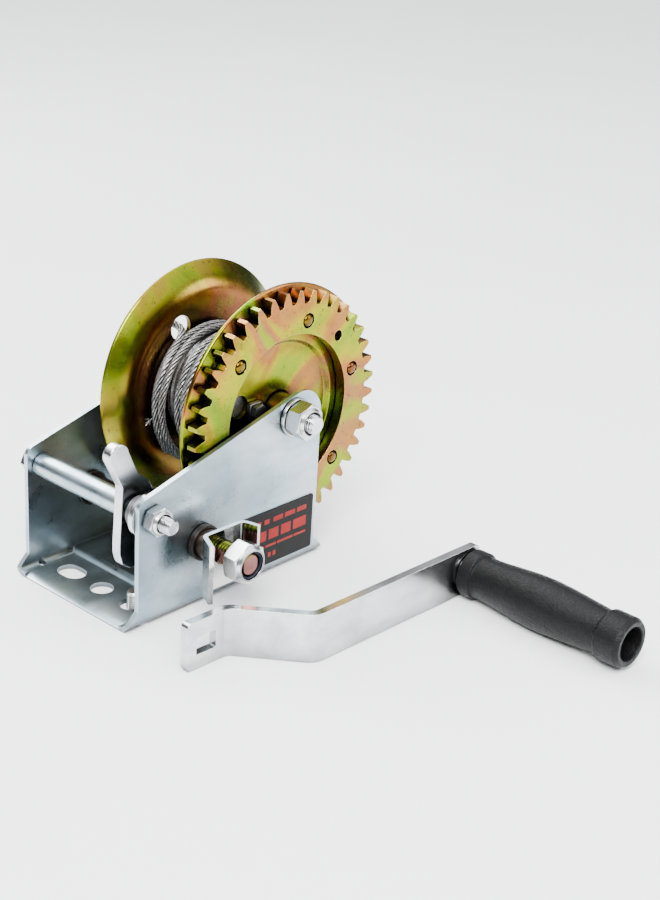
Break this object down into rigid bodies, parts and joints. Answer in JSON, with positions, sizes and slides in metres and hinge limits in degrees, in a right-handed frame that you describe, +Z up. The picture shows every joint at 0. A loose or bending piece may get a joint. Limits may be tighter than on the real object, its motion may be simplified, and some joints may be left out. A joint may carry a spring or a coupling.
{
  "type": "boat trailer winch",
  "caption": "Manual trailer winch: folded steel frame, geared cable drum with wire rope, reversible pawl, and a detached hand crank with a turning grip.",
  "frame": {"origin": "point on the underside of the base, straight below the drum's axis and half-way between the side plates", "axes": "+Z up, +X from the base's front edge towards the drum and the rear, -Y towards the crank side"},
  "size_m": [0.1784, 0.2762, 0.1511],
  "materials": {
    "zinc_blue": "bright zinc plate with a faint blue tint",
    "zinc_white": "bright white zinc plate",
    "zinc_yellow": "yellow passivated zinc, iridescent gold, green and pink",
    "rope_steel": "galvanised wire strands",
    "dark_steel": "oiled dark steel",
    "spring_steel": "dark spring steel",
    "bush_polymer": "dark brown bearing plastic",
    "nylon_blue": "blue nylon",
    "label_black": "printed black vinyl film",
    "grip_plastic": "black plastic with a fine pebble grain"
  },
  "bodies": {
    "winch_frame": {"frame": "zinc_blue", "front_spacer_tube": "zinc_blue", "front_spacer_bolt": "zinc_white", "front_spacer_nut": "zinc_white", "front_spacer_nut_ring": "nylon_blue", "pawl_side_washer": "zinc_white", "pawl_spring": "spring_steel", "drum_axle_bolt": "zinc_white", "drum_axle_sleeve": "dark_steel", "drum_axle_washer": "zinc_white", "drum_axle_nut": "zinc_white", "drum_axle_nut_ring": "nylon_blue", "shaft_bush_right": "bush_polymer", "shaft_bush_left": "bush_polymer", "rating_label": "label_black", "mounting_stud": "zinc_white"},
    "drum": {"drum_hub": "zinc_yellow", "drum_core": "zinc_yellow", "left_flange": "zinc_yellow", "right_flange": "zinc_yellow", "ring_gear": "zinc_yellow", "gear_rivet_1": "zinc_yellow", "gear_rivet_2": "zinc_yellow", "gear_rivet_3": "zinc_yellow", "gear_rivet_4": "zinc_yellow", "gear_rivet_5": "zinc_yellow", "gear_rivet_6": "zinc_yellow", "wire_rope_winding": "rope_steel", "wire_rope_tail": "rope_steel", "cable_clamp": "spring_steel", "cable_clamp_screw": "spring_steel"},
    "crank_shaft_set": {"crank_shaft": "dark_steel", "drive_pinion": "dark_steel", "pinion_collar": "dark_steel", "ratchet_wheel": "dark_steel", "shaft_retaining_ring": "spring_steel", "crank_bracket": "zinc_white", "crank_nut": "zinc_white", "crank_nut_ring": "nylon_blue"},
    "pawl": {"pawl": "zinc_white"},
    "crank": {"crank_arm": "zinc_white", "grip_spindle": "zinc_white", "grip_washer": "zinc_white", "grip_retaining_nut": "zinc_white"},
    "grip": {"crank_grip": "grip_plastic"}
  },
  "joints": [
    {"name": "drum_spin", "type": "hinge", "parent": "winch_frame", "child": "drum", "pos_m": [0, 0, 0.0846], "axis": [0, 1, 0], "continuous": true},
    {"name": "shaft_spin", "type": "hinge", "parent": "winch_frame", "child": "crank_shaft_set", "pos_m": [-0.0622, 0, 0.0351], "axis": [0, 1, 0], "continuous": true},
    {"name": "pawl_swing", "type": "hinge", "parent": "winch_frame", "child": "pawl", "pos_m": [-0.0939, 0, 0.05715], "axis": [0, 1, 0], "range_deg": [-16, 18]},
    {"name": "crank_lift", "type": "slide", "parent": "winch_frame", "child": "crank", "axis": [0, 0, 1], "range_m": [0, 0.06]},
    {"name": "grip_spin", "type": "hinge", "parent": "crank", "child": "grip", "pos_m": [0.04598, -0.17634, 0.01373], "axis": [-0.0361, -0.9993, 0.014], "continuous": true}
  ],
  "couplings": [
    {"joint": "shaft_spin", "follows": "drum_spin", "ratio": -3.4167}
  ]
}
